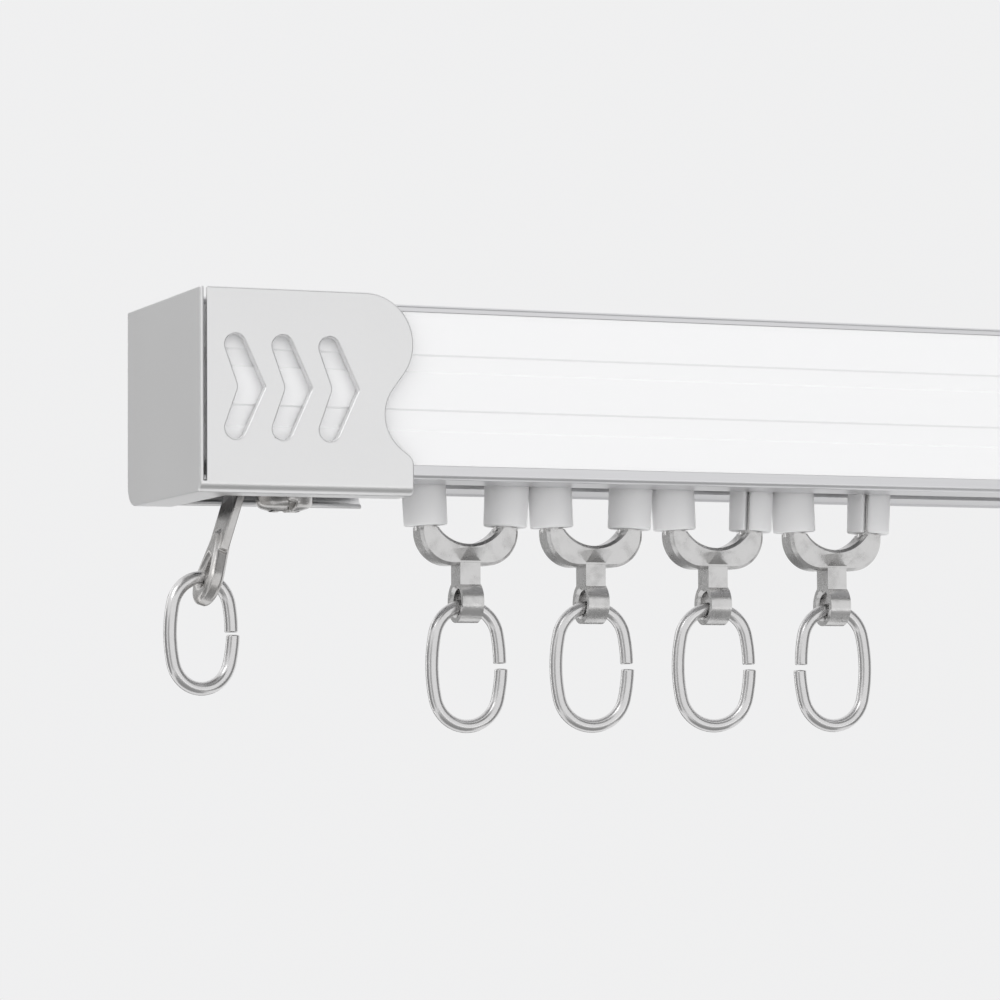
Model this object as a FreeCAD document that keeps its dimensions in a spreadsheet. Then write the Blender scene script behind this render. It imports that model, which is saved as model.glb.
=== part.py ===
import FreeCAD, Part
import math
import os
import re

import Sketcher

V = FreeCAD.Vector

# Millimetres within which two places on a solid are the same
NEAR = 0.001

# Driving dimensions in millimetres and degrees. Heights named "below" are measured
# down from the rail's top face, places along the track from its left or right end.
SIZES = {
    "track_length": 600.0,
    "end_gap": 0.2,
    # Rail extrusion
    "rail_depth": 42.4,
    "rail_height": 32.95,
    "rail_wall": 1.3,
    "bead_top": 1.3,
    "bead_bottom": 2.6,
    "bead_round": 1.1,
    "bead_proud": 0.15,
    "lip": 1.5,
    "lip_recess": 0.35,
    "slot_width": 9.6,
    "channel_width": 22.0,
    "channel_height": 9.6,
    # White strip between the beads
    "strip_thickness": 1.1,
    "seat_gap": 0.05,
    "band_depth": 0.25,
    "band_slope": 0.35,
    "band_high_below": 9.3,
    "band_high_width": 3.6,
    "band_low_below": 19.7,
    "band_low_width": 4.3,
    # Folded end cap
    "sheet": 0.8,
    "cap_side_gap": 1.0,
    "cap_rise": 1.75,
    "cap_below_rail": 3.3,
    "cap_bend": 2.0,
    "cap_rear_bend": 4.2,
    "cap_front_length": 42.0,
    "cap_rear_length": 47.5,
    "seam": 0.5,
    "flange_front": 9.0,
    "flange_rear": 2.5,
    "flange_end": 8.0,
    "wave_top": 9.5,
    "wave_notch": 8.0,
    "wave_notch_reach": 2.4,
    "wave_notch_height": 15.2,
    "wave_foot": 2.4,
    "wave_foot_height": 5.8,
    "chevron_first": 6.9,
    "chevron_pitch": 9.2,
    "chevron_height": 19.6,
    "chevron_half": 7.7,
    "chevron_end": 2.0,
    "chevron_nose": 0.8,
    "chevron_nose_reach": 4.9,
    "chevron_dent": 2.4,
    "chevron_dent_reach": 1.9,
    "rim": 0.5,
    # End hook, its screw and its nut plate
    "screw_inset": 24.15,
    "hook_thickness": 1.6,
    "hook_base_width": 14.0,
    "hook_base_end": 7.0,
    "hook_reach": 9.4,
    "hook_bend": 1.5,
    "hook_lean": 17.5,
    "arm_width": 8.6,
    "arm_length": 13.0,
    "hook_eye_along": 18.8,
    "hook_eye_radius": 5.0,
    "hook_eye_thickness": 3.0,
    "hook_eye_neck": 7.2,
    "hook_eye_neck_radius": 2.6,
    "hook_hole": 2.65,
    "hook_hole_rise": 1.0,
    "hook_hole_top": 1.3,
    "hook_hole_length": 2.6,
    "hook_eye_edge": 0.7,
    "screw_diameter": 5.0,
    "screw_clearance": 0.2,
    "screw_head": 10.8,
    "screw_head_height": 3.9,
    "screw_flat": 2.7,
    "screw_crown": 1.3,
    "screw_crown_rise": 1.8,
    "screw_slot": 1.3,
    "screw_slot_depth": 1.8,
    "screw_cross": 5.2,
    "nut_length": 18.0,
    "nut_height": 4.0,
    "nut_side_gap": 0.5,
    "nut_corner": 1.0,
    "screw_past_nut": 1.0,
    # Runner yoke
    "first_runner": 61.4,
    "runner_pitch": 26.5,
    "leg_spread": 8.3,
    "leg_lean": 3.0,
    "leg_diameter": 4.6,
    "leg_boss": 2.7,
    "leg_boss_width": 4.0,
    "yoke_width": 20.4,
    "yoke_height": 7.4,
    "yoke_thickness": 5.0,
    "yoke_corner": 6.6,
    "scoop_width": 12.7,
    "scoop_depth": 3.2,
    "yoke_edge": 0.6,
    "neck_width": 4.2,
    "neck_depth": 4.9,
    "wedge_reach": 4.2,
    "wedge_height": 2.4,
    "wedge_below_scoop": 0.9,
    "eye_below_yoke": 7.0,
    "eye_radius": 4.1,
    "eye_width": 4.4,
    "eye_hole": 2.5,
    "eye_chamfer": 0.6,
    # Plastic collar
    "collar_show": 7.3,
    "collar_foot": 8.5,
    "collar_head": 8.7,
    "collar_below_lip": 0.35,
    "collar_clearance": 0.1,
    "collar_slit": 0.7,
    # Wheels and axles
    "wheel_diameter": 8.0,
    "wheel_width": 3.4,
    "wheel_gap": 0.1,
    "wheel_inset": 0.8,
    "wheel_hub": 2.2,
    "wheel_recess": 0.5,
    "wheel_rim": 0.9,
    "axle_diameter": 2.4,
    "axle_clearance": 0.05,
    "axle_head": 3.4,
    "axle_head_height": 0.6,
    # Wire rings
    "wire": 2.6,
    "ring_width": 17.1,
    "ring_height": 25.9,
    "ring_nose_share": 0.93,
    "ring_gap": 1.0,
    "end_ring_width": 15.9,
    "end_ring_height": 23.5,
    "end_ring_shift": 1.7,
    "hang_gap": 0.4,
    "end_hang_gap": 0.5,
}

# How far each runner's ring is turned from the line of the track, and its open side
RING_TURNS = [2.0, -8.0, -12.0, 0.0]
RING_OPEN_SIDES = [1, 1, 1, -1]
END_RING_TURN = 11.0
HALF_TURN = 180

# Where each runner's right collar has its slit, seen from below: at the rear or in front
SLIT_REAR = 90.0
SLIT_FRONT = 235.0
SLIT_ANGLES = [SLIT_REAR, SLIT_REAR, SLIT_FRONT, SLIT_FRONT]

doc = FreeCAD.newDocument("CurtainTrack")


def fill_sheet():
    """Writes every driving dimension into the sheet under its own alias."""
    sheet = doc.addObject("Spreadsheet::Sheet", "Sizes")
    for row, (name, value) in enumerate(SIZES.items(), start=1):
        sheet.set("A%d" % row, name)
        sheet.set("B%d" % row, str(value))
        sheet.setAlias("B%d" % row, name)
    doc.recompute()
    return sheet


sizes = fill_sheet()


def bound(text):
    """Turns plain size names into references to the sheet's cells."""
    return re.sub(r"[a-z_]+", lambda m: "Sizes." + m[0] if m[0] in SIZES else m[0], str(text))


def value(text):
    """The number that an expression has now."""
    return float(sizes.evalExpression(bound(text)))


# Heights and depths that several pieces share, worked out from the sheet
RAIL_FRONT = "(-rail_depth / 2)"
STRIP_FACE = "(-rail_depth / 2 + bead_proud)"
UNDERSIDE = "(lip_recess - rail_height)"
LIP_TOP = "(lip_recess + lip - rail_height)"
CHANNEL_TOP = "(lip_recess + lip + channel_height - rail_height)"
CAP_BOTTOM = "(-rail_height - cap_below_rail)"
CAP_DEPTH = "(rail_depth + 2 * sheet + 2 * cap_side_gap)"
CAP_FACE = "(-%s / 2)" % CAP_DEPTH
RAIL_LENGTH = "(track_length - 2 * sheet - 2 * end_gap)"
COLLAR_FOOT = "(-rail_height - collar_show)"
COLLAR_LENGTH = "(lip_recess + lip - collar_below_lip + collar_show)"
AXLE_HEIGHT = "(lip_recess + lip - rail_height + wheel_gap + wheel_diameter / 2)"
LEG_RISE = "(lip_recess + lip + wheel_gap + wheel_diameter / 2 + collar_show)"
AXLE_SPREAD = "(leg_spread + %s * tan(leg_lean))" % LEG_RISE
YOKE_TOP = "(-rail_height - collar_show - collar_foot / 2 * sin(leg_lean) - seat_gap)"
EYE_HEIGHT = "(%s - yoke_height - eye_below_yoke)" % YOKE_TOP
RING_HEIGHT = "(%s - eye_hole + hang_gap + wire / 2)" % EYE_HEIGHT
HOOK_MIDDLE = "(lip_recess - rail_height - hook_thickness / 2)"
SCREW_SEAT = "(lip_recess - rail_height - hook_thickness)"
END_RING_ALONG = "(hook_eye_along + hook_hole - hook_hole_rise - end_hang_gap - wire / 2)"


def body(label):
    """A new body whose name and label are the piece's own."""
    piece = doc.addObject("PartDesign::Body", label)
    piece.Label = label
    return piece


def attach(sketch, piece, plane):
    """Lays a sketch on one of its own body's origin planes."""
    found = [f for f in piece.Origin.OriginFeatures if f.Role == plane][0]
    sketch.AttachmentSupport = [(found, "")]
    sketch.MapMode = "FlatFace"


def new_sketch(piece, name, plane, offset=None):
    """An empty sketch on an origin plane, raised from it by an expression."""
    sketch = piece.newObject("Sketcher::SketchObject", name)
    attach(sketch, piece, plane)
    if offset is not None:
        sketch.setExpression("AttachmentOffset.Base.z", bound(offset))
    return sketch


def tie(sketch, kind, *refs_and_size):
    """Adds a dimension to a sketch and binds it to the sheet."""
    *refs, size = refs_and_size
    number = sketch.addConstraint(Sketcher.Constraint(kind, *refs, value(size)))
    sketch.setExpression("Constraints[%d]" % number, bound(size))


def tie_point(sketch, geometry, end, x, y):
    """Places one end or centre of a sketch's geometry at x, y."""
    tie(sketch, "DistanceX", -1, 1, geometry, end, x)
    tie(sketch, "DistanceY", -1, 1, geometry, end, y)


def point(x, y):
    """A sharp corner of an outline."""
    return {"x": x, "y": y, "r": None, "side": 0}


def round_corner(x, y, r, side=1):
    """A circle that the outline runs round, on its left (1) or right (-1) side."""
    return {"x": x, "y": y, "r": r, "side": side}


def touch_points(first, second):
    """Where the straight between two corners leaves the first and meets the second."""
    ends = [complex(value(c["x"]), value(c["y"])) for c in (first, second)]
    pulls = [c["side"] * (value(c["r"]) if c["r"] else 0.0) for c in (first, second)]
    across = ends[1] - ends[0]
    shift = pulls[1] - pulls[0]
    run = math.sqrt(abs(across) ** 2 - shift ** 2)
    direction = across / complex(run, shift)
    return [end - pull * direction * 1j for end, pull in zip(ends, pulls)]


def outline(sketch, corners):
    """A closed outline of straights that touch each corner's circle, anticlockwise."""
    count = len(corners)
    runs = [touch_points(corners[i], corners[(i + 1) % count]) for i in range(count)]
    lines = []
    for start, end in runs:
        segment = Part.LineSegment(V(start.real, start.imag, 0), V(end.real, end.imag, 0))
        lines.append(sketch.addGeometry(segment, False))
    for i, corner in enumerate(corners):
        before, after = lines[i - 1], lines[i]
        if corner["r"] is None:
            sketch.addConstraint(Sketcher.Constraint("Coincident", before, 2, after, 1))
            tie_point(sketch, after, 1, corner["x"], corner["y"])
            continue
        centre = complex(value(corner["x"]), value(corner["y"]))
        turned = [runs[i - 1][1] - centre, runs[i][0] - centre]
        if corner["side"] < 0:
            turned.reverse()
        first, last = [math.atan2(t.imag, t.real) for t in turned]
        if last < first:
            last += 2 * math.pi
        circle = Part.Circle(V(centre.real, centre.imag, 0), V(0, 0, 1), value(corner["r"]))
        arc = sketch.addGeometry(Part.ArcOfCircle(circle, first, last), False)
        ends = (1, 2) if corner["side"] > 0 else (2, 1)
        sketch.addConstraint(Sketcher.Constraint("Tangent", before, 2, arc, ends[0]))
        sketch.addConstraint(Sketcher.Constraint("Tangent", arc, ends[1], after, 1))
        tie_point(sketch, arc, 3, corner["x"], corner["y"])
        tie(sketch, "Radius", arc, corner["r"])
    return sketch


def disc(sketch, x, y, radius):
    """A full circle in a sketch."""
    circle = Part.Circle(V(value(x), value(y), 0), V(0, 0, 1), value(radius))
    number = sketch.addGeometry(circle, False)
    tie_point(sketch, number, 3, x, y)
    tie(sketch, "Radius", number, radius)
    return sketch


def box_corners(left, right, low, high):
    """The four corners of an upright rectangle."""
    return [point(left, low), point(right, low), point(right, high), point(left, high)]


def pad(piece, sketch, length, middle=False, reverse=False):
    """Raises a sketch to a solid of the given length."""
    feature = piece.newObject("PartDesign::Pad", sketch.Name + "_pad")
    feature.Profile = sketch
    feature.setExpression("Length", bound(length))
    feature.Midplane = middle
    feature.Reversed = reverse
    return feature


def pocket(piece, sketch, length, middle=False, reverse=False):
    """Cuts a sketch out of its body to the given depth."""
    feature = piece.newObject("PartDesign::Pocket", sketch.Name + "_cut")
    feature.Profile = sketch
    feature.setExpression("Length", bound(length))
    feature.Midplane = middle
    feature.Reversed = reverse
    return feature


def revolve(piece, sketch, axis):
    """Turns a sketch once round one of its own axes."""
    feature = piece.newObject("PartDesign::Revolution", sketch.Name + "_turned")
    feature.Profile = sketch
    feature.ReferenceAxis = (sketch, [axis])
    feature.Angle = 360.0
    return feature


def bevel(piece, feature, size, chosen):
    """Chamfers the edges of a feature that the test picks."""
    doc.recompute()
    names = ["Edge%d" % (i + 1) for i, edge in enumerate(feature.Shape.Edges) if chosen(edge)]
    chamfer = piece.newObject("PartDesign::Chamfer", feature.Name + "_edge")
    chamfer.Base = (feature, names)
    chamfer.setExpression("Size", bound(size))
    return chamfer


def place(piece, x="0", y="0", z="0", axis=V(0, 0, 1), turn=0):
    """Puts a finished piece in the track, turned by an angle in degrees about an axis."""
    angle = value(turn)
    piece.Placement = FreeCAD.Placement(V(value(x), value(y), value(z)), FreeCAD.Rotation(axis, angle))
    for name, text in (("x", x), ("y", y), ("z", z)):
        piece.setExpression("Placement.Base." + name, bound(text))
    return piece


def make_rail():
    """Extrusion: beads, an upper hollow, two side hollows and the running channel."""
    piece = body("rail")
    front, rear = RAIL_FRONT, "(rail_depth / 2)"
    seat = "(-rail_depth / 2 + bead_proud + strip_thickness + seat_gap)"
    bottom = "(-rail_height)"
    half_slot, half_channel = "slot_width / 2", "channel_width / 2"
    foot = "(rail_depth / 2 - bead_round - 2 * lip_recess)"
    section = new_sketch(piece, "rail_section", "YZ_Plane")
    outline(section, [
        round_corner("%s + bead_round" % front, "%s + bead_round" % bottom, "bead_round"),
        point("-%s" % foot, bottom),
        point("-%s + lip_recess" % foot, UNDERSIDE),
        point("-" + half_slot, UNDERSIDE),
        point("-" + half_slot, LIP_TOP),
        point("-" + half_channel, LIP_TOP),
        point("-" + half_channel, CHANNEL_TOP),
        point(half_channel, CHANNEL_TOP),
        point(half_channel, LIP_TOP),
        point(half_slot, LIP_TOP),
        point(half_slot, UNDERSIDE),
        point("%s - lip_recess" % foot, UNDERSIDE),
        point(foot, bottom),
        round_corner("%s - bead_round" % rear, "%s + bead_round" % bottom, "bead_round"),
        round_corner("%s - bead_top / 2" % rear, "-bead_top / 2", "bead_top / 2"),
        round_corner("%s + bead_top / 2" % front, "-bead_top / 2", "bead_top / 2"),
        point(front, "-bead_top / 2 - rail_wall / 2"),
        point(seat, "-bead_top / 2 - rail_wall / 2"),
        point(seat, "%s + bead_bottom" % bottom),
        point(front, "%s + bead_bottom" % bottom),
    ])
    inner_front, inner_rear = "(%s + rail_wall)" % seat, "(%s - rail_wall)" % rear
    upper_floor = "(%s + rail_wall)" % CHANNEL_TOP
    outline(section, box_corners(inner_front, inner_rear, upper_floor, "-rail_wall"))
    outline(section, box_corners(inner_front, "-%s - rail_wall" % half_channel, LIP_TOP, CHANNEL_TOP))
    outline(section, box_corners("%s + rail_wall" % half_channel, inner_rear, LIP_TOP, CHANNEL_TOP))
    pad(piece, section, RAIL_LENGTH, middle=True)


def make_face_strip():
    """White strip with two shallow bands, held behind the lips of the beads."""
    piece = body("face_strip")
    face, back = STRIP_FACE, "(%s + strip_thickness)" % STRIP_FACE
    low = "(bead_bottom - rail_height + seat_gap)"
    high = "(-bead_top / 2 - rail_wall / 2 - seat_gap)"
    corners = [point(back, low), point(back, high), point(face, high)]
    for top, width in (("band_high_below", "band_high_width"), ("band_low_below", "band_low_width")):
        corners += [
            point(face, "-%s" % top),
            point("%s + band_depth" % face, "-%s - band_slope" % top),
            point("%s + band_depth" % face, "-%s - %s + band_slope" % (top, width)),
            point(face, "-%s - %s" % (top, width)),
        ]
    corners.append(point(face, low))
    section = outline(new_sketch(piece, "strip_section", "YZ_Plane"), corners)
    pad(piece, section, RAIL_LENGTH, middle=True)


def chevron(sketch, shift, grow="0"):
    """A bent slot with round ends that points along +X, grown outwards by a margin."""
    x = "(chevron_first + %s)" % shift
    middle = "(%s + chevron_height)" % CAP_BOTTOM
    outline(sketch, [
        round_corner(x, "%s - chevron_half" % middle, "chevron_end + %s" % grow),
        round_corner("%s + chevron_nose_reach" % x, middle, "chevron_nose + %s" % grow),
        round_corner(x, "%s + chevron_half" % middle, "chevron_end + %s" % grow),
        round_corner("%s - chevron_dent_reach" % x, middle, "chevron_dent - %s" % grow, -1),
    ])


def make_end_cap(label):
    """Folded sheet cap, drawn from its closed end at x = 0 along the rail."""
    piece = body(label)
    rear, top = "(%s / 2)" % CAP_DEPTH, "cap_rise"
    inner_front, inner_rear = "(%s + sheet)" % CAP_FACE, "(%s - sheet)" % rear
    channel = new_sketch(piece, label + "_channel", "YZ_Plane")
    outline(channel, [
        round_corner("%s + cap_bend" % CAP_FACE, "%s + cap_bend" % CAP_BOTTOM, "cap_bend"),
        round_corner("%s - cap_rear_bend" % rear, "%s + cap_rear_bend" % CAP_BOTTOM, "cap_rear_bend"),
        point(rear, top),
        point(inner_rear, top),
        round_corner("%s - cap_rear_bend" % rear, "%s + cap_rear_bend" % CAP_BOTTOM,
                     "cap_rear_bend - sheet", -1),
        round_corner("%s + cap_bend" % CAP_FACE, "%s + cap_bend" % CAP_BOTTOM, "cap_bend - sheet", -1),
        point(inner_front, top),
        point(CAP_FACE, top),
    ])
    pad(piece, channel, "cap_rear_length")
    # Wavy free edge of the front panel: everything right of it is cut away
    wave = new_sketch(piece, label + "_wave", "XZ_Plane", "-%s" % CAP_FACE)
    past = "(cap_rear_length + cap_bend)"
    outline(wave, [
        point(past, "%s + cap_bend" % top),
        point("cap_front_length - 2 * wave_top", "%s + cap_bend" % top),
        point("cap_front_length - 2 * wave_top", top),
        round_corner("cap_front_length - wave_top", "%s - wave_top" % top, "wave_top", -1),
        round_corner("cap_front_length + wave_notch_reach", "%s + wave_notch_height" % CAP_BOTTOM,
                     "wave_notch"),
        round_corner("cap_front_length - wave_foot", "%s + wave_foot_height" % CAP_BOTTOM, "wave_foot", -1),
        point("cap_front_length", "%s - cap_bend" % CAP_BOTTOM),
        point(past, "%s - cap_bend" % CAP_BOTTOM),
    ])
    pocket(piece, wave, "flange_front")
    # Opening in the folded bottom for the hook, its screw and the runners
    window = new_sketch(piece, label + "_window", "XY_Plane", CAP_BOTTOM)
    front_edge, rear_edge = "%s + flange_front" % CAP_FACE, "%s - flange_rear" % rear
    outline(window, box_corners("flange_end", past, front_edge, rear_edge))
    pocket(piece, window, "cap_bend", reverse=True)
    # Closed end, with its rear corner rounded like the fold behind it
    plate = new_sketch(piece, label + "_plate", "YZ_Plane")
    outline(plate, [
        point(CAP_FACE, "%s + cap_bend" % CAP_BOTTOM),
        point("%s + cap_bend" % CAP_FACE, CAP_BOTTOM),
        round_corner("%s - cap_rear_bend" % rear, "%s + cap_rear_bend" % CAP_BOTTOM, "cap_rear_bend"),
        point(rear, top),
        point(CAP_FACE, top),
    ])
    pad(piece, plate, "sheet")
    # Open seam between the closed end and the front panel
    seam = new_sketch(piece, label + "_seam", "XZ_Plane", "-%s" % CAP_FACE)
    outline(seam, box_corners("sheet", "sheet + seam", "%s + cap_bend" % CAP_BOTTOM, "%s + seam" % top))
    pocket(piece, seam, "sheet")
    # Chevrons: a rim drawn inwards to the strip, then the opening through it
    rims = new_sketch(piece, label + "_rims", "XZ_Plane", "-%s" % inner_front)
    holes = new_sketch(piece, label + "_holes", "XZ_Plane", "-%s" % CAP_FACE)
    for number in range(3):
        chevron(rims, "%d * chevron_pitch" % number, "rim")
        chevron(holes, "%d * chevron_pitch" % number)
    rim_depth = "(%s - %s - seat_gap)" % (STRIP_FACE, inner_front)
    pad(piece, rims, rim_depth, reverse=True)
    piece.Tip = pocket(piece, holes, "%s + sheet + seat_gap" % rim_depth)
    return place(piece, "-track_length / 2")


def make_mirrored_cap(label, source):
    """The cap of the other end, mirrored across the middle of the track."""
    piece = doc.addObject("Part::Mirroring", label)
    piece.Label = label
    piece.Source = source
    piece.Normal = V(1, 0, 0)
    return piece


def place_at_end(piece, end, inset, z="0"):
    """Puts a piece drawn for the left end there, or half a turn round at the right end."""
    if end < 0:
        place(piece, "-(%s)" % inset, "0", z)
    else:
        place(piece, inset, "0", z, turn=HALF_TURN)
    return piece


def make_end_hook(label, end):
    """Bent strip under the slot, with a leaning arm and a pear-shaped eye."""
    piece = body(label)
    # Eye in the plane of the arm
    eye = leaning_sketch(piece, label + "_eye")
    outline(eye, [
        round_corner("0", "0", "hook_eye_radius"),
        round_corner("0", "hook_eye_neck", "hook_eye_neck_radius"),
    ])
    pad(piece, eye, "hook_eye_thickness", middle=True)
    ring_hole = leaning_sketch(piece, label + "_eye_hole")
    outline(ring_hole, [
        round_corner("0", "hook_hole_rise", "hook_hole"),
        round_corner("0", "hook_hole_rise + hook_hole_length", "hook_hole_top"),
    ])
    shape = pocket(piece, ring_hole, "2 * hook_eye_thickness", middle=True)
    bevel(piece, shape, "hook_eye_edge", in_eye_face)
    # Arm, bend and the middle of the foot in one strip
    half = "hook_thickness / 2"
    middle_bend = "(hook_bend + hook_thickness / 2)"
    bend_x = "(%s * tan((90 - hook_lean) / 2) - hook_reach)" % middle_bend
    end_x = "(-hook_reach - arm_length * sin(hook_lean))"
    end_z = "(-arm_length * cos(hook_lean))"
    strip = new_sketch(piece, label + "_strip", "XZ_Plane")
    outline(strip, [
        point("hook_base_end", half),
        round_corner(bend_x, "-%s" % middle_bend, "hook_bend + hook_thickness"),
        point("%s - %s * cos(hook_lean)" % (end_x, half), "%s + %s * sin(hook_lean)" % (end_z, half)),
        point("%s + %s * cos(hook_lean)" % (end_x, half), "%s - %s * sin(hook_lean)" % (end_z, half)),
        round_corner(bend_x, "-%s" % middle_bend, "hook_bend", -1),
        point("hook_base_end", "-%s" % half),
    ])
    pad(piece, strip, "arm_width", middle=True)
    # Wider foot that bears on both lips
    foot = new_sketch(piece, label + "_foot", "XY_Plane", "-%s" % half)
    outline(foot, [
        round_corner("hook_base_end - hook_bend", "-hook_base_width / 2 + hook_bend", "hook_bend"),
        round_corner("hook_base_end - hook_bend", "hook_base_width / 2 - hook_bend", "hook_bend"),
        round_corner("%s + hook_bend" % bend_x, "hook_base_width / 2 - hook_bend", "hook_bend"),
        round_corner("%s + hook_bend" % bend_x, "-hook_base_width / 2 + hook_bend", "hook_bend"),
    ])
    pad(piece, foot, "hook_thickness")
    hole = disc(new_sketch(piece, label + "_screw_hole", "XY_Plane", "-hook_thickness"),
                "0", "0", "screw_diameter / 2 + screw_clearance")
    piece.Tip = pocket(piece, hole, "2 * hook_thickness", reverse=True)
    place_at_end(piece, end, "track_length / 2 - screw_inset", HOOK_MIDDLE)


def leaning_sketch(piece, name):
    """A sketch in the arm's own plane, centred on the eye."""
    sketch = piece.newObject("Sketcher::SketchObject", name)
    attach(sketch, piece, "YZ_Plane")
    lean = FreeCAD.Rotation(V(1, 0, 0), value("hook_lean"))
    sketch.AttachmentOffset = FreeCAD.Placement(V(0, 0, 0), lean)
    sketch.setExpression("AttachmentOffset.Base.y", bound("-hook_eye_along * cos(hook_lean)"))
    sketch.setExpression("AttachmentOffset.Base.z", bound("-hook_reach - hook_eye_along * sin(hook_lean)"))
    sketch.setExpression("AttachmentOffset.Rotation.Angle", bound("hook_lean * 1 deg"))
    return sketch


def in_eye_face(edge):
    """True for an edge that lies in one of the eye's two faces."""
    lean = math.radians(value("hook_lean"))
    along = value("hook_eye_along")
    centre = V(-value("hook_reach") - along * math.sin(lean), 0, -along * math.cos(lean))
    normal = V(math.cos(lean), 0, -math.sin(lean))
    first, last = [(edge.Vertexes[i].Point - centre).dot(normal) for i in (0, -1)]
    return abs(first - last) < NEAR and abs(abs(first) - value("hook_eye_thickness / 2")) < NEAR


def make_hook_screw(label, end):
    """Pan head screw with a slot and a cross, entered from below."""
    piece = body(label)
    turned = new_sketch(piece, label + "_turned", "XZ_Plane")
    shank = "(hook_thickness + lip + nut_height + screw_past_nut)"
    outline(turned, [
        point("0", "-screw_head_height"),
        point("screw_flat", "-screw_head_height"),
        round_corner("screw_head / 2 - screw_crown", "screw_crown_rise - screw_head_height", "screw_crown"),
        point("screw_head / 2", "0"),
        point("screw_diameter / 2", "0"),
        point("screw_diameter / 2", shank),
        point("0", shank),
    ])
    revolve(piece, turned, "V_Axis")
    recess = new_sketch(piece, label + "_recess", "XY_Plane", "-screw_head_height")
    outline(recess, box_corners("-screw_slot / 2", "screw_slot / 2", "-screw_head / 2", "screw_head / 2"))
    pocket(piece, recess, "screw_slot_depth", reverse=True)
    across = new_sketch(piece, label + "_cross", "XY_Plane", "-screw_head_height")
    outline(across, box_corners("-screw_cross / 2", "screw_cross / 2", "-screw_slot / 2", "screw_slot / 2"))
    pocket(piece, across, "screw_slot_depth", reverse=True)
    place_at_end(piece, end, "track_length / 2 - screw_inset", SCREW_SEAT)


def make_slide_nut(label, end):
    """Threaded plate that rests on both lips inside the channel."""
    piece = body(label)
    half_width = "(channel_width / 2 - nut_side_gap)"
    plate = new_sketch(piece, label + "_plate", "XY_Plane")
    outline(plate, [
        round_corner("nut_length / 2 - nut_corner", "nut_corner - %s" % half_width, "nut_corner"),
        round_corner("nut_length / 2 - nut_corner", "%s - nut_corner" % half_width, "nut_corner"),
        round_corner("nut_corner - nut_length / 2", "%s - nut_corner" % half_width, "nut_corner"),
        round_corner("nut_corner - nut_length / 2", "nut_corner - %s" % half_width, "nut_corner"),
    ])
    disc(plate, "0", "0", "screw_diameter / 2 + seat_gap")
    pad(piece, plate, "nut_height")
    place_at_end(piece, end, "track_length / 2 - screw_inset", LIP_TOP)


def runner_place(number):
    """Where a runner stands along the track."""
    return "(first_runner + %d * runner_pitch - track_length / 2)" % number


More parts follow.
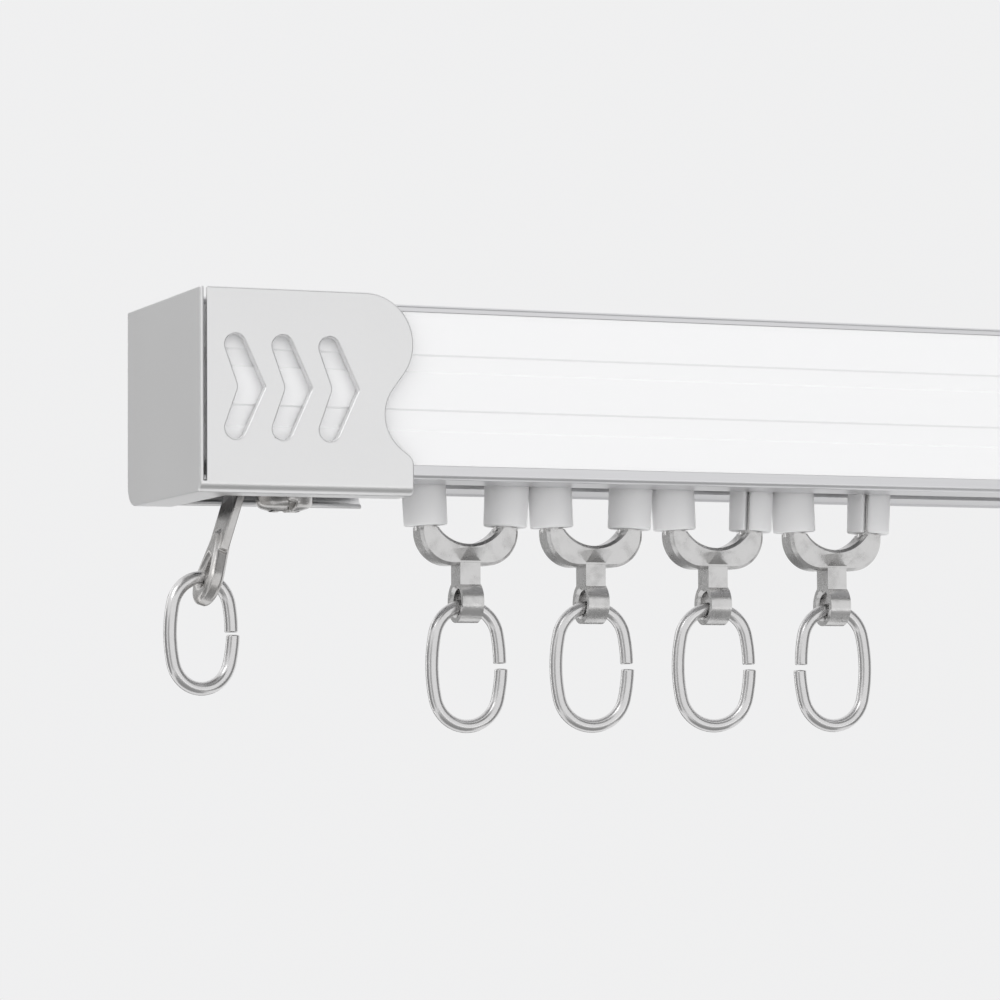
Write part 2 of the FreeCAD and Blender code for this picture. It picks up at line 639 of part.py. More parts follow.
def make_yoke(label, number):
    """Cast crescent with two leaning legs, wedges, a neck and the ring's eye."""
    piece = body(label)
    top = YOKE_TOP
    scoop_radius = "((scoop_width ^ 2 / 4 + scoop_depth ^ 2) / (2 * scoop_depth))"
    crescent = new_sketch(piece, label + "_crescent", "XZ_Plane")
    corner_x = "(yoke_width / 2 - yoke_corner)"
    corner_z = "(%s - yoke_height + yoke_corner)" % top
    outline(crescent, [
        round_corner("-%s" % corner_x, corner_z, "yoke_corner"),
        round_corner(corner_x, corner_z, "yoke_corner"),
        point("yoke_width / 2", top),
        point("-yoke_width / 2", top),
    ])
    shape = pad(piece, crescent, "yoke_thickness", middle=True)
    scoop = disc(new_sketch(piece, label + "_scoop", "XZ_Plane"),
                 "0", "%s - scoop_depth + %s" % (top, scoop_radius), scoop_radius)
    shape = pocket(piece, scoop, "2 * yoke_thickness", middle=True)
    half = value("yoke_thickness / 2")
    flat_top = value(top)
    shape = bevel(piece, shape, "yoke_edge", lambda edge: in_face(edge, half, flat_top))
    # Legs that lean outwards, with a boss round each axle
    for side in (-1, 1):
        leg = piece.newObject("PartDesign::AdditiveCylinder", "%s_leg_%d" % (label, side + 2))
        lean = FreeCAD.Rotation(V(0, 1, 0), side * value("leg_lean"))
        leg.Placement = FreeCAD.Placement(V(0, 0, 0), lean)
        root = "(%s - %s + yoke_edge)" % (COLLAR_FOOT, top)
        leg_x = "%d * (leg_spread - %s * tan(leg_lean))" % (side, root)
        leg.setExpression("Placement.Base.x", bound(leg_x))
        leg.setExpression("Placement.Base.z", bound("%s - yoke_edge" % top))
        leg.setExpression("Radius", bound("leg_diameter / 2"))
        leg.setExpression("Height", bound("(%s + %s) / cos(leg_lean)" % (LEG_RISE, root)))
    bosses = new_sketch(piece, label + "_bosses", "XZ_Plane")
    bores = new_sketch(piece, label + "_bores", "XZ_Plane")
    for side in (-1, 1):
        disc(bosses, "%d * %s" % (side, AXLE_SPREAD), AXLE_HEIGHT, "leg_boss")
        disc(bores, "%d * %s" % (side, AXLE_SPREAD), AXLE_HEIGHT, "axle_diameter / 2 + axle_clearance")
    pad(piece, bosses, "leg_boss_width", middle=True)
    pocket(piece, bores, "2 * leg_diameter", middle=True)
    # Wedges proud of both faces, over the neck
    wedge_top = "(%s - scoop_depth - wedge_below_scoop)" % top
    wedge = new_sketch(piece, label + "_wedge", "YZ_Plane")
    outline(wedge, [
        point("-neck_depth / 2", "%s - wedge_height" % wedge_top),
        point("neck_depth / 2", "%s - wedge_height" % wedge_top),
        point("yoke_thickness / 2 + wedge_reach", wedge_top),
        point("-yoke_thickness / 2 - wedge_reach", wedge_top),
    ])
    pad(piece, wedge, "neck_width", middle=True)
    neck = new_sketch(piece, label + "_neck", "YZ_Plane")
    outline(neck, box_corners("-neck_depth / 2", "neck_depth / 2", EYE_HEIGHT,
                              "%s - yoke_height + yoke_edge" % top))
    pad(piece, neck, "neck_width", middle=True)
    eye = disc(new_sketch(piece, label + "_eye", "YZ_Plane"), "0", EYE_HEIGHT, "eye_radius")
    pad(piece, eye, "eye_width", middle=True)
    hole = disc(new_sketch(piece, label + "_eye_hole", "YZ_Plane"), "0", EYE_HEIGHT, "eye_hole")
    cut = pocket(piece, hole, "2 * eye_width", middle=True)
    radius = value("eye_hole")
    piece.Tip = bevel(piece, cut, "eye_chamfer", lambda edge: is_ring(edge, radius))
    place(piece, runner_place(number))


def in_face(edge, half, flat_top):
    """True for a crescent's edge in its front or rear face, unless it runs along the flat top."""
    first, last = edge.Vertexes[0].Point, edge.Vertexes[-1].Point
    straight = isinstance(edge.Curve, Part.Line)
    along_top = straight and max(abs(first.z - flat_top), abs(last.z - flat_top)) < NEAR
    in_one_face = abs(first.y - last.y) < NEAR and abs(abs(first.y) - half) < NEAR
    return in_one_face and not along_top


def is_ring(edge, radius):
    """True for a full or part circle of the given radius."""
    return isinstance(edge.Curve, Part.Circle) and abs(edge.Curve.Radius - radius) < NEAR


def make_collar(label, number, side, slit_angle):
    """Split plastic sleeve clipped round one leg, from the yoke up into the slot."""
    piece = body(label)
    bore = "(leg_diameter / 2 + collar_clearance)"
    wall = new_sketch(piece, label + "_wall", "XZ_Plane")
    outline(wall, [
        point(bore, "0"),
        point("collar_foot / 2", "0"),
        point("collar_head / 2", COLLAR_LENGTH),
        point(bore, COLLAR_LENGTH),
    ])
    revolve(piece, wall, "V_Axis")
    slit = new_sketch(piece, label + "_slit", "XY_Plane")
    corners = []
    for far, wide in ((0, -1), (1, -1), (1, 1), (0, 1)):
        reach, half = "%d * collar_head" % far, "%d * collar_slit / 2" % wide
        x = "(%s * cos(%s) - %s * sin(%s))" % (reach, slit_angle, half, slit_angle)
        y = "(%s * sin(%s) + %s * cos(%s))" % (reach, slit_angle, half, slit_angle)
        corners.append(point(x, y))
    outline(slit, corners)
    piece.Tip = pocket(piece, slit, COLLAR_LENGTH, reverse=True)
    place(piece, "%s + %d * leg_spread" % (runner_place(number), side), "0", COLLAR_FOOT,
          V(0, 1, 0), "%d * leg_lean" % side)


def make_axle(label, number, side):
    """Plain pin across the top of a leg, with a riveted head at each end."""
    piece = body(label)
    half = "(slot_width / 2 + wheel_inset + wheel_width)"
    turned = new_sketch(piece, label + "_turned", "XY_Plane")
    outline(turned, [
        point("0", "-%s - axle_head_height" % half),
        point("axle_head / 2", "-%s - axle_head_height" % half),
        point("axle_head / 2", "-%s" % half),
        point("axle_diameter / 2", "-%s" % half),
        point("axle_diameter / 2", half),
        point("axle_head / 2", half),
        point("axle_head / 2", "%s + axle_head_height" % half),
        point("0", "%s + axle_head_height" % half),
    ])
    revolve(piece, turned, "V_Axis")
    place(piece, "%s + %d * %s" % (runner_place(number), side, AXLE_SPREAD), "0", AXLE_HEIGHT)


def make_wheel(label, number, side, face):
    """Small wheel with a hub and a dished web, pressed on one end of an axle."""
    piece = body(label)
    turned = new_sketch(piece, label + "_turned", "XY_Plane")
    rim_inside = "(wheel_diameter / 2 - wheel_rim)"
    outline(turned, [
        point("axle_diameter / 2", "0"),
        point("wheel_diameter / 2", "0"),
        point("wheel_diameter / 2", "wheel_width"),
        point(rim_inside, "wheel_width"),
        point(rim_inside, "wheel_width - wheel_recess"),
        point("wheel_hub", "wheel_width - wheel_recess"),
        point("wheel_hub", "wheel_width"),
        point("axle_diameter / 2", "wheel_width"),
    ])
    revolve(piece, turned, "V_Axis")
    place(piece, "%s + %d * %s" % (runner_place(number), side, AXLE_SPREAD),
          "%d * (slot_width / 2 + wheel_inset)" % face, AXLE_HEIGHT, turn=0 if face > 0 else HALF_TURN)


def make_ring(label, width, height, open_side, spot, shift, turn):
    """Open oval of round wire that hangs from spot, turned, and slid along its own crown."""
    piece = body(label)
    half_width, half_height = "(%s / 2 - wire / 2)" % width, "(%s / 2 - wire / 2)" % height
    nose = "(ring_nose_share * %s)" % half_width
    rise = "(%s - %s)" % (half_height, nose)
    flank = "((%s ^ 2 + %s ^ 2 - %s ^ 2) / (2 * (%s - %s)))" % (half_width, rise, nose, half_width, nose)
    lean = "atan(%s / (%s - %s))" % (rise, flank, half_width)
    join_x = "(%s * cos(%s) - %s + %s)" % (flank, lean, flank, half_width)
    join_z = "(%s * sin(%s))" % (flank, lean)
    path = new_sketch(piece, label + "_path", "XZ_Plane")
    gap_z = "(ring_gap / 2)"
    gap_x = "(sqrt(%s ^ 2 - %s ^ 2) - %s + %s)" % (flank, gap_z, flank, half_width)
    stops = [
        (gap_x, gap_z), (join_x, join_z), ("-" + join_x, join_z),
        ("-" + join_x, "-" + join_z), (join_x, "-" + join_z), (gap_x, "-" + gap_z),
    ]
    right_centre = ("(%s - %s)" % (half_width, flank), "0")
    left_centre = ("(%s - %s)" % (flank, half_width), "0")
    centres = [right_centre, ("0", rise), left_centre, ("0", "-" + rise), right_centre]
    radii = [flank, nose, flank, nose, flank]
    for i, radius in enumerate(radii):
        ends = [complex(value(px), value(pz)) for px, pz in stops[i:i + 2]]
        centre = complex(value(centres[i][0]), value(centres[i][1]))
        first, last = [math.atan2((e - centre).imag, (e - centre).real) for e in ends]
        if last < first:
            last += 2 * math.pi
        circle = Part.Circle(V(centre.real, centre.imag, 0), V(0, 0, 1), value(radius))
        arc = path.addGeometry(Part.ArcOfCircle(circle, first, last), False)
        tie_point(path, arc, 1, *stops[i])
        tie_point(path, arc, 2, *stops[i + 1])
        tie(path, "Radius", arc, radius)
    section = piece.newObject("Sketcher::SketchObject", label + "_wire")
    section.AttachmentSupport = [(path, "Edge1")]
    section.MapMode = "NormalToEdge"
    doc.recompute()
    disc(section, "0", "0", "wire / 2")
    pipe = piece.newObject("PartDesign::AdditivePipe", label + "_pipe")
    pipe.Profile = section
    pipe.Spine = (path, [])
    hang_x, hang_z = spot
    x = "%s + %s * cos(%s)" % (hang_x, shift, turn)
    y = "%s * sin(%s)" % (shift, turn)
    z = "%s + (%s) ^ 2 / (2 * %s) - %s" % (hang_z, shift, nose, half_height)
    place(piece, x, y, z, turn=turn if open_side > 0 else turn + HALF_TURN)


def make_all():
    """Builds every piece of the track."""
    make_rail()
    make_face_strip()
    eye_x = "(screw_inset - hook_reach - %s * sin(hook_lean))" % END_RING_ALONG
    end_hang_z = "(%s - %s * cos(hook_lean))" % (HOOK_MIDDLE, END_RING_ALONG)
    make_mirrored_cap("end_cap_right", make_end_cap("end_cap_left"))
    for name, end in (("left", -1), ("right", 1)):
        make_end_hook("end_hook_" + name, end)
        make_hook_screw("hook_screw_" + name, end)
        make_slide_nut("slide_nut_" + name, end)
        hang_x = "%d * (track_length / 2 - %s)" % (end, eye_x)
        make_ring("end_ring_" + name, "end_ring_width", "end_ring_height", -end,
                  (hang_x, end_hang_z), "%d * end_ring_shift" % end, -end * END_RING_TURN)
    for number in range(4):
        runner = "runner_%d" % (number + 1)
        make_yoke(runner + "_yoke", number)
        for name, side in (("left", -1), ("right", 1)):
            slit_angle = SLIT_ANGLES[number] if side > 0 else SLIT_REAR
            make_collar("%s_collar_%s" % (runner, name), number, side, slit_angle)
            make_axle("%s_axle_%s" % (runner, name), number, side)
            for place_name, face in (("front", -1), ("rear", 1)):
                make_wheel("%s_wheel_%s_%s" % (runner, name, place_name), number, side, face)
        make_ring(runner + "_ring", "ring_width", "ring_height", RING_OPEN_SIDES[number],
                  (runner_place(number), RING_HEIGHT), "0", RING_TURNS[number])
    doc.recompute()


def write_parts():
    """Checks every feature and solid, then writes one STEP file for each piece."""
    for item in doc.Objects:
        if "Invalid" in item.State or "Error" in item.State:
            raise RuntimeError("%s failed: %s" % (item.Name, item.State))
    pieces = [item for item in doc.Objects if item.TypeId in ("PartDesign::Body", "Part::Mirroring")]
    for piece in pieces:
        if piece.Shape.isNull() or not piece.Shape.isValid() or len(piece.Shape.Solids) != 1:
            raise RuntimeError("%s is no sound solid" % piece.Label)
    os.makedirs("parts", exist_ok=True)
    for piece in pieces:
        piece.Shape.exportStep("parts/%s.step" % piece.Label)


make_all()
write_parts()
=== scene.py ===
import bpy
import numpy as np
from mathutils import Matrix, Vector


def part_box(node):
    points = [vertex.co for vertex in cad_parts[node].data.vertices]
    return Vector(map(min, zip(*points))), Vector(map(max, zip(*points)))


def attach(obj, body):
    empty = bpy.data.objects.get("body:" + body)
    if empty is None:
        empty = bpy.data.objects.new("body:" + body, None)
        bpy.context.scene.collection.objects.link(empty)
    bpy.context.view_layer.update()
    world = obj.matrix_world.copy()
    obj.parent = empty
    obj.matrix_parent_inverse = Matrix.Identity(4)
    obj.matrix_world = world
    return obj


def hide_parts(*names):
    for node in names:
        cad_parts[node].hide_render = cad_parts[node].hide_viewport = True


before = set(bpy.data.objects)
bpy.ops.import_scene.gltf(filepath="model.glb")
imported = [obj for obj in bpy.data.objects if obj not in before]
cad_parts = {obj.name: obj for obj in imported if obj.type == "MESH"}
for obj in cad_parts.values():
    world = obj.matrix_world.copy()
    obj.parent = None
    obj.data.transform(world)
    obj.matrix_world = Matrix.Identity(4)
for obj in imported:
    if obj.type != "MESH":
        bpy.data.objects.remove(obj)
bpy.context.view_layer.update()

# Camera: in front of the left end and a little below it, looking up along the track,
# with a long lens, as for a catalogue picture.
AIM = np.array([-0.24073, -0.0230, -0.03665])
DISTANCE = 0.7393
TURN, RISE, ROLL = np.radians([22.25, 3.93, -0.37])
LENS = 141.0
ahead = np.array([np.sin(TURN) * np.cos(RISE), np.cos(TURN) * np.cos(RISE), np.sin(RISE)])
level = np.array([np.cos(TURN), -np.sin(TURN), 0.0])
over = np.cross(level, ahead)
right = level * np.cos(ROLL) + over * np.sin(ROLL)
above = over * np.cos(ROLL) - level * np.sin(ROLL)
stand = np.column_stack([right, above, -ahead, AIM - ahead * DISTANCE])
camera = bpy.data.objects.new("camera", bpy.data.cameras.new("camera"))
bpy.context.scene.collection.objects.link(camera)
camera.data.lens = LENS
camera.matrix_world = Matrix(np.vstack([stand, [0, 0, 0, 1]]).tolist())
bpy.context.scene.camera = camera
bpy.context.scene.view_settings.view_transform = "Standard"


# Studio: a plain pale floor a room's height below the track, pale air all round it, soft
# lamps, and grey cards beside the track that only metal and gloss reflect.
class Value:
    """A number on a shader: an operator on it adds its Math node and gives the result."""

    def __init__(self, finish, socket):
        self.finish, self.socket = finish, socket

    def math(self, operation, first, second=0.0):
        """One Math node on two numbers."""
        return self.finish.add("ShaderNodeMath", {"operation": operation}, {0: first, 1: second})

    def __add__(self, other):
        return self.math("ADD", self, other)

    def __radd__(self, other):
        return self.math("ADD", other, self)

    def __sub__(self, other):
        return self.math("SUBTRACT", self, other)

    def __rsub__(self, other):
        return self.math("SUBTRACT", other, self)

    def __mul__(self, other):
        return self.math("MULTIPLY", self, other)

    def __rmul__(self, other):
        return self.math("MULTIPLY", other, self)

    def least(self, most):
        """The number, or most where that is smaller."""
        return self.math("MINIMUM", self, most)

    def step(self, low, high):
        """Eases from 0 at low to 1 at high."""
        settings = {"interpolation_type": "SMOOTHSTEP"}
        inputs = {"Value": self, "From Min": low, "From Max": high}
        return self.finish.add("ShaderNodeMapRange", settings, inputs)


class Finish:
    """The shader of a material or of the world, empty at first."""

    def __init__(self, owner):
        owner.use_nodes = True
        self.owner, self.tree = owner, owner.node_tree
        self.tree.nodes.clear()

    def add(self, kind, settings, inputs, output=0):
        """Adds a node: its settings first, then the values or links of its sockets."""
        node = self.tree.nodes.new(kind)
        for name, setting in settings.items():
            setattr(node, name, setting)
        for name, given in inputs.items():
            if isinstance(given, Value):
                self.tree.links.new(given.socket, node.inputs[name])
            else:
                node.inputs[name].default_value = given
        return Value(self, node.outputs[output]) if node.outputs else None

    def noise(self, scale, stretch=(1, 1, 1), detail=3.0):
        """Cloudy noise between 0 and 1 on the piece's place in metres, clouds per metre."""
        place = self.add("ShaderNodeTexCoord", {}, {}, "Object")
        place = self.add("ShaderNodeMapping", {}, {"Vector": place, "Scale": stretch})
        return self.add("ShaderNodeTexNoise", {}, {"Vector": place, "Scale": scale, "Detail": detail})

    def tint(self, share, first, second):
        """A colour between two colours."""
        inputs = {0: share, 6: (*first, 1), 7: (*second, 1)}
        return self.add("ShaderNodeMix", {"data_type": "RGBA"}, inputs, 2)

    def bump(self, height, depth):
        """A normal for a surface raised by height, times depth in metres."""
        return self.add("ShaderNodeBump", {}, {"Height": height, "Distance": depth})

    def backdrop_rays(self):
        """1 for the rays that meet the pale background: camera, gloss and clear plastic."""
        seen = self.add("ShaderNodeLightPath", {}, {}, "Is Camera Ray")
        outputs = seen.socket.node.outputs
        for name in ("Is Glossy Ray", "Is Transmission Ray"):
            seen = seen + Value(self, outputs[name])
        return seen.least(1.0)

    def surface(self, inputs):
        """Ends a material with its shader and the output."""
        shader = self.add("ShaderNodeBsdfPrincipled", {}, inputs)
        self.add("ShaderNodeOutputMaterial", {}, {"Surface": shader})
        return self.owner


PAPER, PAPER_SHADE = (0.868, 0.868, 0.872), (0.84, 0.84, 0.845)
FLOOR_BELOW, FLOOR_REACH = 2.6, 25.0
AIR_LEVEL, AIR_FRONT, AIR_TOP, AIR_FOOT = 0.56, 0.42, 0.30, 0.12

air = Finish(bpy.data.worlds.new("air"))
bpy.context.scene.world = air.owner
heading = air.add("ShaderNodeTexCoord", {}, {}, "Generated")
apart = air.add("ShaderNodeSeparateXYZ", {}, {"Vector": heading})
backward, upward = [Value(air, s) for s in apart.socket.node.outputs][1:]
frontward, downward = -1.0 * backward, -1.0 * upward
glow = AIR_LEVEL + AIR_FRONT * frontward.step(-0.1, 0.9) + AIR_TOP * upward.step(0.1, 0.8)
glow = glow - AIR_FOOT * downward.step(0.0, 0.8)
shown = air.add("ShaderNodeBackground", {}, {"Color": (*PAPER, 1), "Strength": 1.0})
felt = air.add("ShaderNodeBackground", {}, {"Color": (1, 1, 1, 1), "Strength": glow})
both = air.add("ShaderNodeMixShader", {}, {0: air.backdrop_rays(), 1: felt, 2: shown})
air.add("ShaderNodeOutputWorld", {}, {"Surface": both})

floor_finish = Finish(bpy.data.materials.new("floor"))
rays = floor_finish.backdrop_rays()
mottle = floor_finish.noise(0.5)
paint = floor_finish.tint(mottle * 0.02, PAPER, PAPER_SHADE)
matt = floor_finish.add("ShaderNodeBsdfDiffuse", {}, {"Color": paint})
pale = floor_finish.add("ShaderNodeEmission", {}, {"Color": (*PAPER, 1)})
both = floor_finish.add("ShaderNodeMixShader", {}, {0: rays, 1: matt, 2: pale})
floor_finish.add("ShaderNodeOutputMaterial", {}, {"Surface": both})
corners = np.array([[-1, -1, 0], [1, -1, 0], [1, 1, 0], [-1, 1, 0]]) * FLOOR_REACH
floor_mesh = bpy.data.meshes.new("floor")
floor_mesh.from_pydata((corners - [0, 0, FLOOR_BELOW]).tolist(), [], [[0, 1, 2, 3]])
floor_mesh.materials.append(floor_finish.owner)
floor = bpy.data.objects.new("floor", floor_mesh)
bpy.context.scene.collection.objects.link(floor)

AIM_SPOT = (-0.2, 0, -0.04)


def facing(spot):
    """Three directions, across, up and back, of a flat thing at spot that faces the track."""
    back = np.subtract(spot, AIM_SPOT)
    back = back / np.linalg.norm(back)
    across = np.cross([0, 0, 1], back)
    across = across / np.linalg.norm(across)
    return across, np.cross(back, across), back


def lamp(name, spot, size, power, glints=False):
    """A square soft lamp at spot that faces the track; metal shows it only if it glints."""
    light = bpy.data.lights.new(name, "AREA")
    light.size, light.energy = size, power
    holder = bpy.data.objects.new(name, light)
    bpy.context.scene.collection.objects.link(holder)
    turned = np.column_stack([*facing(spot), spot])
    holder.matrix_world = Matrix(np.vstack([turned, [0, 0, 0, 1]]).tolist())
    holder.visible_glossy = glints


lamp("key_lamp", (0.5, -1.6, 0.9), 0.9, 4)
lamp("low_lamp", (-0.5, -1.4, -0.9), 0.8, 1.2)
lamp("rear_lamp", (-1.1, 1.2, 0.5), 0.8, 1.2)
lamp("glint_lamp", (-1.5, -0.9, 1.1), 0.5, 1.8, glints=True)

CARD_MOTTLE = 0.9


def card(name, spot, wide, high, shade):
    """A grey or bright card at spot that faces the track, felt by reflections alone. Its
    corners lie half its width across and half its height up from the spot, either way."""
    grey = Finish(bpy.data.materials.new(name))
    tone = grey.tint(grey.noise(2.0), (shade,) * 3, (shade * CARD_MOTTLE,) * 3)
    glow = grey.add("ShaderNodeEmission", {}, {"Color": tone})
    grey.add("ShaderNodeOutputMaterial", {}, {"Surface": glow})
    across, up, _ = facing(spot)
    corners = [np.add(spot, a * wide / 2 * across + b * high / 2 * up)
               for a, b in ((-1, -1), (1, -1), (1, 1), (-1, 1))]
    mesh = bpy.data.meshes.new(name)
    mesh.from_pydata(np.array(corners).tolist(), [], [[0, 1, 2, 3]])
    mesh.materials.append(grey.owner)
    panel = bpy.data.objects.new(name, mesh)
    bpy.context.scene.collection.objects.link(panel)
    panel.visible_camera = panel.visible_diffuse = False
    panel.visible_transmission = panel.visible_shadow = False


card("rear_left_card", (-0.98, 1.75, -0.25), 0.80, 1.9, 0.36)
card("bright_strip", (-1.29, 1.17, 0.0), 0.22, 2.4, 2.0)
card("left_card", (-1.76, 0.34, -0.35), 1.4, 1.5, 0.30)
card("front_left_card", (-1.75, -1.45, -0.35), 1.1, 1.5, 0.45)
card("right_card", (1.33, -0.48, 0.0), 1.4, 2.6, 0.28)
card("front_low_card", (0.1, -1.4, -1.2), 2.4, 0.8, 0.44)
card("low_card", (-0.3, -0.6, -1.5), 2.2, 1.4, 0.34)
card("rear_low_card", (0.0, 1.6, -0.95), 1.6, 0.7, 0.20)
card("over_card", (0.1, -1.4, 1.2), 2.0, 0.9, 0.26)
card("upper_left_card", (-1.22, -0.50, 1.00), 0.7, 0.5, 2.2)
card("front_line_card", (0.44, -1.44, -0.62), 1.8, 0.22, 1.3)


# Rail: an aluminium extrusion, satin anodised, with the fine lengthwise lines that the
# die leaves. It carries every other piece of the track.
ALUMINIUM, ALUMINIUM_WORN = (0.80, 0.80, 0.81), (0.73, 0.73, 0.745)

drawn = Finish(bpy.data.materials.new("rail_aluminium"))
lines = drawn.noise(1.0, (12, 1600, 1600), 4.0)
clouds = drawn.noise(60.0)
rail_finish = drawn.surface({
    "Base Color": drawn.tint(lines * 0.6 + clouds * 0.3, ALUMINIUM, ALUMINIUM_WORN),
    "Metallic": 1.0,
    "Roughness": 0.26 + 0.12 * lines,
    "Normal": drawn.bump(lines, 0.00002),
})


def dress(names, finish):
    """Gives CAD nodes their material."""
    for name in names:
        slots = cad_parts[name].data.materials
        slots.clear()
        slots.append(finish)


dress(["rail"], rail_finish)

# Face strip: a glossy white plastic strip with two shallow bands, slid in behind the
# lips of the rail's two front beads.
WHITE, WHITE_SHADE = (0.875, 0.875, 0.88), (0.86, 0.86, 0.865)

gloss = Finish(bpy.data.materials.new("white_strip"))
clouds = gloss.noise(30.0)
strip_finish = gloss.surface({
    "Base Color": gloss.tint(clouds * 0.6, WHITE, WHITE_SHADE),
    "Roughness": 0.34 + 0.06 * clouds,
})
dress(["face_strip"], strip_finish)

# End caps: one piece of thin steel sheet each, pierced and folded, then plated to a
# satin nickel grey. They are pushed over the ends of the rail.
STEEL, STEEL_DARK = (0.89, 0.89, 0.89), (0.86, 0.86, 0.86)
CAP_EDGE = 0.00035
JOIN_REACH, FLAT_TURN, SHARP_TURN, EDGE_STEPS = 1e-6, np.radians(0.2), np.radians(30), 3


def soften(names, width, clamp=False):
    """Joins each node's loose triangles and its flat faces, rounds its sharp edges by width
    in metres, or by less where a clamp holds it back, and lets the large faces look flat."""
    for name in names:
        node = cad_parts[name]
        weld = node.modifiers.new("weld", "WELD")
        weld.merge_threshold = JOIN_REACH
        flat = node.modifiers.new("flat", "DECIMATE")
        flat.decimate_type, flat.angle_limit = "DISSOLVE", FLAT_TURN
        edge = node.modifiers.new("edge", "BEVEL")
        edge.width, edge.segments = width, EDGE_STEPS
        edge.limit_method, edge.angle_limit = "ANGLE", SHARP_TURN
        edge.use_clamp_overlap = clamp
        even = node.modifiers.new("even", "WEIGHTED_NORMAL")
        even.weight, even.keep_sharp = 100, False


satin = Finish(bpy.data.materials.new("cap_steel"))
grain = satin.noise(1400.0, detail=4.0)
clouds = satin.noise(45.0)
cap_finish = satin.surface({
    "Base Color": satin.tint(grain * 0.25 + clouds * 0.45, STEEL, STEEL_DARK),
    "Metallic": 1.0,
    "Roughness": 0.28 + 0.06 * grain + 0.05 * clouds,
    "Normal": satin.bump(grain, 0.000012),
})
caps = ["end_cap_left", "end_cap_right"]
dress(caps, cap_finish)
soften(caps, CAP_EDGE)

# End hooks: bent from steel strip and pressed to a pear-shaped eye, polished and nickel
# plated. Each is clamped under the slot by a pan head screw in a plate in the channel.
NICKEL, NICKEL_WARM = (0.66, 0.65, 0.64), (0.50, 0.485, 0.47)
PLAIN, PLAIN_DARK = (0.52, 0.52, 0.53), (0.40, 0.40, 0.41)
HOOK_EDGE = 0.0003

plated = Finish(bpy.data.materials.new("nickel_plate"))
wear = plated.noise(260.0, detail=4.0)
pits = plated.noise(2600.0, detail=2.0)
plate_finish = plated.surface({
    "Base Color": plated.tint(wear.step(0.35, 0.75), NICKEL, NICKEL_WARM),
    "Metallic": 1.0,
    "Roughness": 0.20 + 0.14 * wear,
    "Normal": plated.bump(wear * 0.6 + pits * 0.4, 0.00002),
})
hooks = ["end_hook_left", "end_hook_right", "hook_screw_left", "hook_screw_right"]
dress(hooks, plate_finish)
soften(hooks, HOOK_EDGE)

bare = Finish(bpy.data.materials.new("plain_steel"))
wear = bare.noise(400.0)
bare_finish = bare.surface({
    "Base Color": bare.tint(wear, PLAIN, PLAIN_DARK),
    "Metallic": 1.0,
    "Roughness": 0.32 + 0.16 * wear,
    "Normal": bare.bump(wear, 0.00002),
})
dress(["slide_nut_left", "slide_nut_right"], bare_finish)

# Yokes: a crescent cast in zinc with two legs up into the slot, wedges at the middle and
# an eye below, tumbled and nickel plated, so that its edges are soft and its skin uneven.
CAST, CAST_DARK = (0.71, 0.705, 0.70), (0.56, 0.555, 0.55)
YOKE_EDGE = 0.0003
RUNNERS = [1, 2, 3, 4]

cast = Finish(bpy.data.materials.new("cast_nickel"))
skin = cast.noise(320.0, detail=3.0)
pits = cast.noise(1800.0, detail=3.0)
yoke_finish = cast.surface({
    "Base Color": cast.tint(skin.step(0.4, 0.8), CAST, CAST_DARK),
    "Metallic": 1.0,
    "Roughness": 0.17 + 0.12 * skin + 0.06 * pits,
    "Normal": cast.bump(skin * 0.75 + pits * 0.25, 0.00009),
})
yokes = ["runner_%d_yoke" % number for number in RUNNERS]
dress(yokes, yoke_finish)
soften(yokes, YOKE_EDGE, clamp=True)

# Axles and wheels: plain riveted pins and small moulded wheels that run on the lips of
# the channel, out of sight inside the rail.
WHEEL, WHEEL_SHADE = (0.74, 0.74, 0.73), (0.66, 0.66, 0.65)

axles = ["runner_%d_axle_%s" % (n, side) for n in RUNNERS for side in ("left", "right")]
dress(axles, bare_finish)

moulded = Finish(bpy.data.materials.new("wheel_plastic"))
flow = moulded.noise(500.0)
wheel_finish = moulded.surface({
    "Base Color": moulded.tint(flow, WHEEL, WHEEL_SHADE),
    "Roughness": 0.38 + 0.12 * flow,
    "Normal": moulded.bump(flow, 0.00002),
})
wheels = ["runner_%d_wheel_%s_%s" % (n, side, face)
          for n in RUNNERS for side in ("left", "right") for face in ("front", "rear")]
dress(wheels, wheel_finish)

# Collars: split sleeves moulded in milky plastic, clipped round the legs of the yokes
# from the crescent up into the slot, where they steady the runner between the lips.
COLLAR_BORE, COLLAR_ROUND, COLLAR_SLIT = 0.0024, 0.0004, 0.0007
COLLAR_FOOT, COLLAR_HEAD, COLLAR_LENGTH = 0.00425, 0.00435, 0.0088
COLLAR_SPREAD, COLLAR_LEAN, COLLAR_LOW = 0.0083, np.radians(3.0), -0.04025
COLLAR_SIDES, COLLAR_STEPS, COLLAR_PARTS = 48, 72, 96
SLIT_REAR, SLIT_FRONT = np.radians(90.0), np.radians(235.0)
MILKY, MILKY_SHADE = (0.95, 0.945, 0.95), (0.92, 0.915, 0.92)

milky = Finish(bpy.data.materials.new("collar_plastic"))
flow = milky.noise(240.0, (1, 1, 0.35))
collar_finish = milky.surface({
    "Base Color": milky.tint(flow, MILKY, MILKY_SHADE),
    "Roughness": 0.36 + 0.10 * flow,
    "Subsurface Weight": 0.6,
    "Subsurface Radius": (0.003, 0.003, 0.003),
    "Subsurface Scale": 1.0,
    "Normal": milky.bump(flow, 0.00003),
})


def rounded_loop(half_wide, half_high, radius, count):
    """A closed rounded rectangle: a circle's points pushed out by the rectangle that is
    left when the radius is taken off each side."""
    turn = (np.arange(count) + 0.5) / count * 2 * np.pi
    x = np.cos(turn) * radius + np.sign(np.cos(turn)) * (half_wide - radius)
    y = np.sin(turn) * radius + np.sign(np.sin(turn)) * (half_high - radius)
    return x, y


